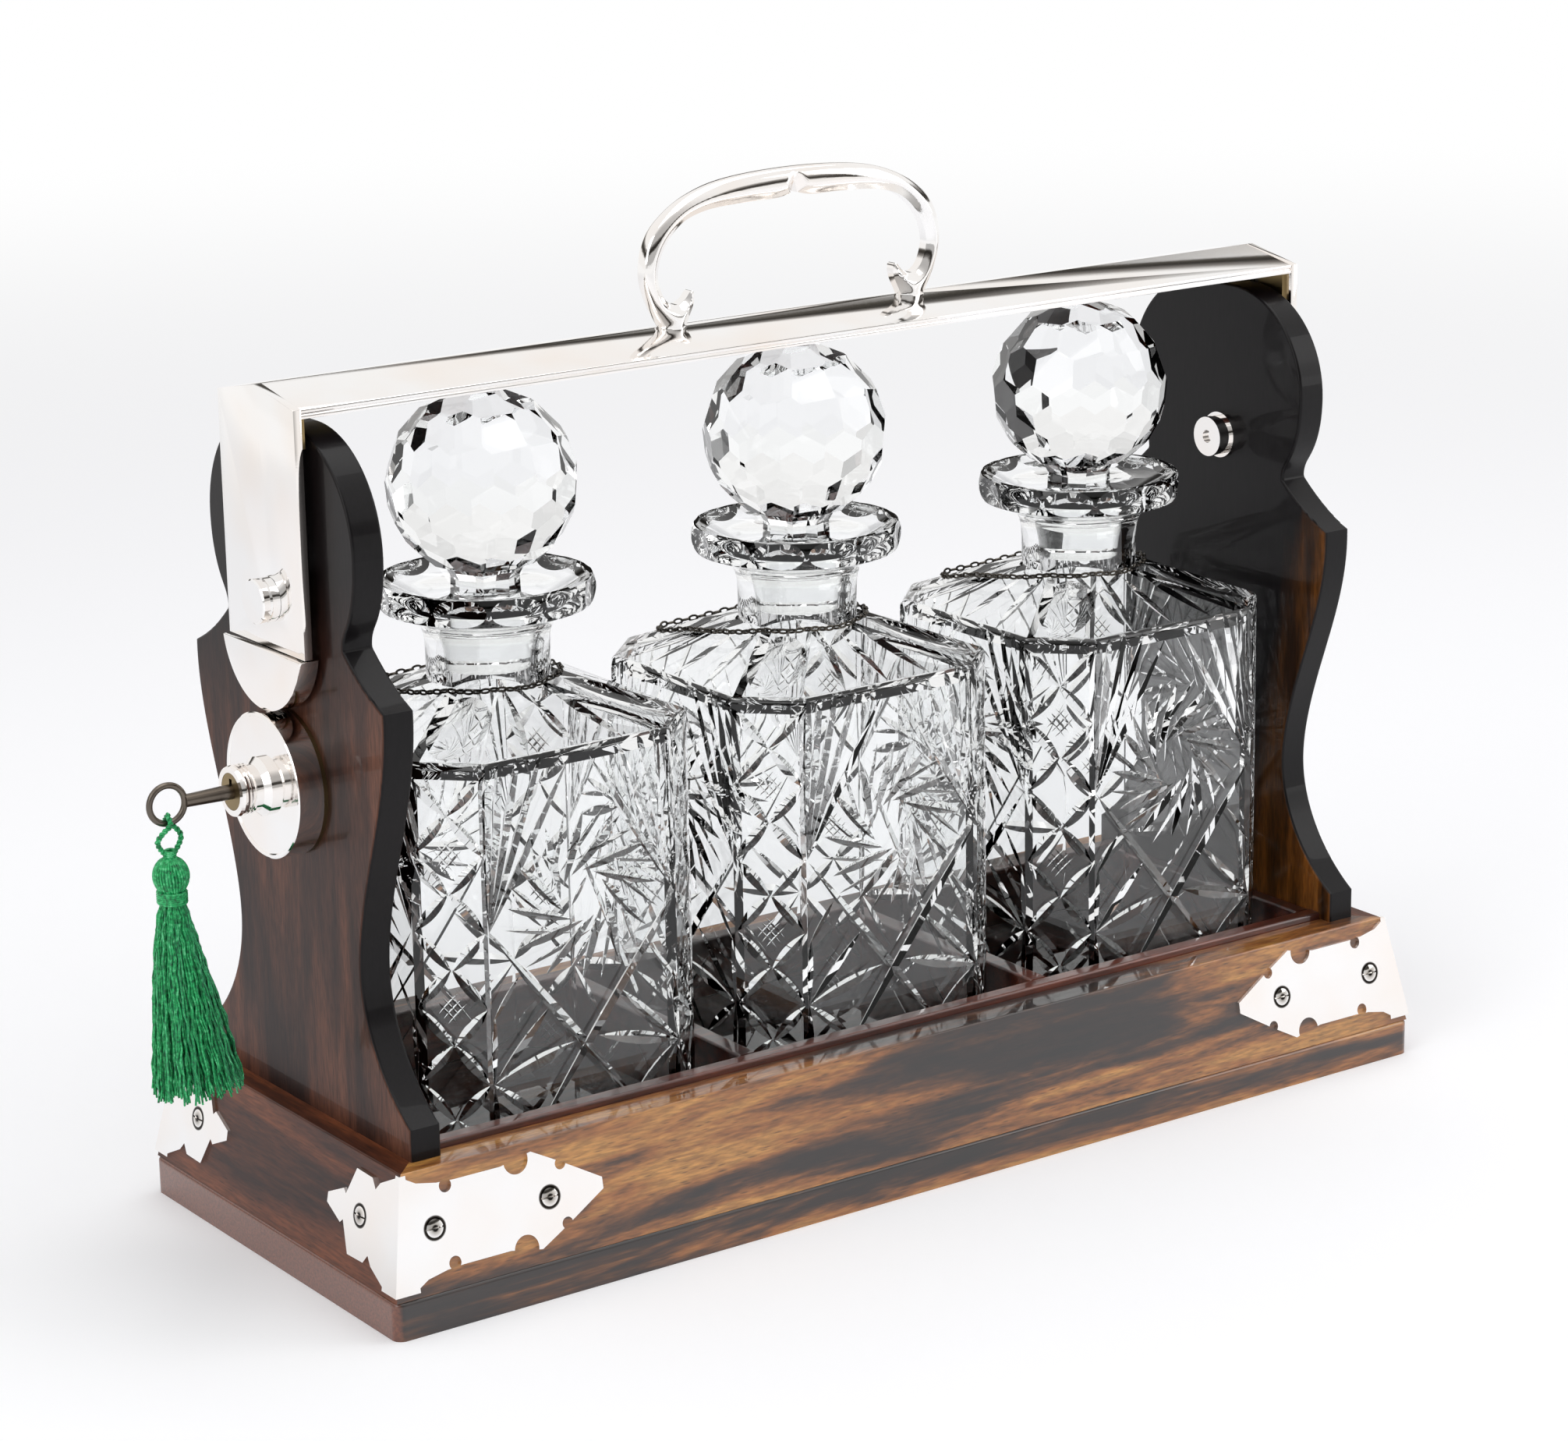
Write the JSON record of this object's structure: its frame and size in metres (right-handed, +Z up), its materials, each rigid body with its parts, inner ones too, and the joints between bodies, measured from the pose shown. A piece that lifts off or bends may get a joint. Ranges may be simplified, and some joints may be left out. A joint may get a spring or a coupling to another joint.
{
  "type": "tantalus",
  "caption": "Wooden decanter stand with square cut-glass decanters, a plated bar that folds down and locks over their ball stoppers, a carrying handle and a tasselled key.",
  "frame": {"origin": "centre of the plinth's underside", "axes": "+Z up, +X along the stand towards the end without the lock, -Y towards the front"},
  "size_m": [0.4034, 0.1396, 0.2918],
  "materials": {
    "figured_wood": "figured coromandel, french polished",
    "dark_wood": "near-black coromandel, french polished",
    "lining_wood": "red-brown, polished",
    "core_wood": "dark, plain",
    "silver_plate": "polished silver plate",
    "bracket_metal": "dulled",
    "screw_steel": "plain",
    "key_steel": "dark, worn",
    "chain_metal": "oxidised silver",
    "cut_glass": "clear lead crystal, cut and polished",
    "silk": "emerald silk"
  },
  "bodies": {
    "stand": {"plinth": "figured_wood", "front_rail": "figured_wood", "back_rail": "figured_wood", "left_rail": "figured_wood", "right_rail": "figured_wood", "floor_board": "lining_wood", "front_lining": "lining_wood", "back_lining": "lining_wood", "left_lining": "lining_wood", "right_lining": "lining_wood", "left_divider": "lining_wood", "right_divider": "lining_wood", "left_upright": "dark_wood", "right_upright": "dark_wood", "corner_mount_front_left": "silver_plate", "corner_mount_front_right": "silver_plate", "corner_mount_back_left": "silver_plate", "corner_mount_back_right": "silver_plate", "mount_screws": "silver_plate", "base_screws": "screw_steel", "left_pivot_pin": "silver_plate", "right_pivot_pin": "silver_plate", "left_pivot_bush": "silver_plate", "right_pivot_bush": "silver_plate", "pivot_spacers": "bracket_metal", "pivot_nuts": "silver_plate", "lock_plate": "bracket_metal", "lock_case": "silver_plate", "lock_nozzle": "silver_plate", "lock_screws": "screw_steel"},
    "top_bar": {"bar_cover": "silver_plate", "bar_core": "core_wood", "left_arm": "silver_plate", "right_arm": "silver_plate", "left_bracket": "bracket_metal", "right_bracket": "bracket_metal", "bracket_screws": "screw_steel", "handle": "silver_plate", "handle_screws": "screw_steel", "lock_hasp": "silver_plate", "hasp_screws": "screw_steel"},
    "lock_cylinder": {"lock_plug": "bracket_metal"},
    "bolt": {"lock_bolt": "screw_steel"},
    "key": {"key": "key_steel"},
    "tassel": {"tassel_loop": "silk", "tassel_head": "silk", "tassel_skirt": "silk"},
    "left_bottle": {"left_decanter": "cut_glass", "left_neck_chain": "chain_metal"},
    "left_ball_stopper": {"left_stopper": "cut_glass"},
    "middle_bottle": {"middle_decanter": "cut_glass", "middle_neck_chain": "chain_metal"},
    "middle_ball_stopper": {"middle_stopper": "cut_glass"},
    "right_bottle": {"right_decanter": "cut_glass", "right_neck_chain": "chain_metal"},
    "right_ball_stopper": {"right_stopper": "cut_glass"}
  },
  "joints": [
    {"name": "bar_swing", "type": "hinge", "parent": "stand", "child": "top_bar", "pos_m": [0, -0.003, 0.192], "axis": [-1, 0, 0], "range_deg": [0, 87]},
    {"name": "key_turn", "type": "hinge", "parent": "stand", "child": "lock_cylinder", "pos_m": [-0.19004, 0, 0.1395], "axis": [1, 0, 0], "range_deg": [0, 90]},
    {"name": "bolt_rise", "type": "slide", "parent": "stand", "child": "bolt", "axis": [0, 0, 1], "range_m": [0, 0.00566]},
    {"name": "key_withdraw", "type": "slide", "parent": "lock_cylinder", "child": "key", "axis": [-1, 0, 0], "range_m": [0, 0.03]},
    {"name": "tassel_swing", "type": "hinge", "parent": "key", "child": "tassel", "pos_m": [-0.20944, 0, 0.1342], "axis": [1, 0, 0], "range_deg": [-75, 75]},
    {"name": "left_bottle_lift", "type": "slide", "parent": "stand", "child": "left_bottle", "axis": [0, 0, 1], "range_m": [0, 0.002]},
    {"name": "left_stopper_turn", "type": "hinge", "parent": "left_bottle", "child": "left_ball_stopper", "pos_m": [-0.107, 0, 0.17], "axis": [0, 0, 1], "continuous": true},
    {"name": "middle_bottle_lift", "type": "slide", "parent": "stand", "child": "middle_bottle", "axis": [0, 0, 1], "range_m": [0, 0.002]},
    {"name": "middle_stopper_turn", "type": "hinge", "parent": "middle_bottle", "child": "middle_ball_stopper", "pos_m": [0, 0, 0.17], "axis": [0, 0, 1], "continuous": true},
    {"name": "right_bottle_lift", "type": "slide", "parent": "stand", "child": "right_bottle", "axis": [0, 0, 1], "range_m": [0, 0.002]},
    {"name": "right_stopper_turn", "type": "hinge", "parent": "right_bottle", "child": "right_ball_stopper", "pos_m": [0.107, 0, 0.17], "axis": [0, 0, 1], "continuous": true}
  ],
  "couplings": [
    {"joint": "bolt_rise", "follows": "key_turn", "m_per_rad": 0.0036013}
  ]
}
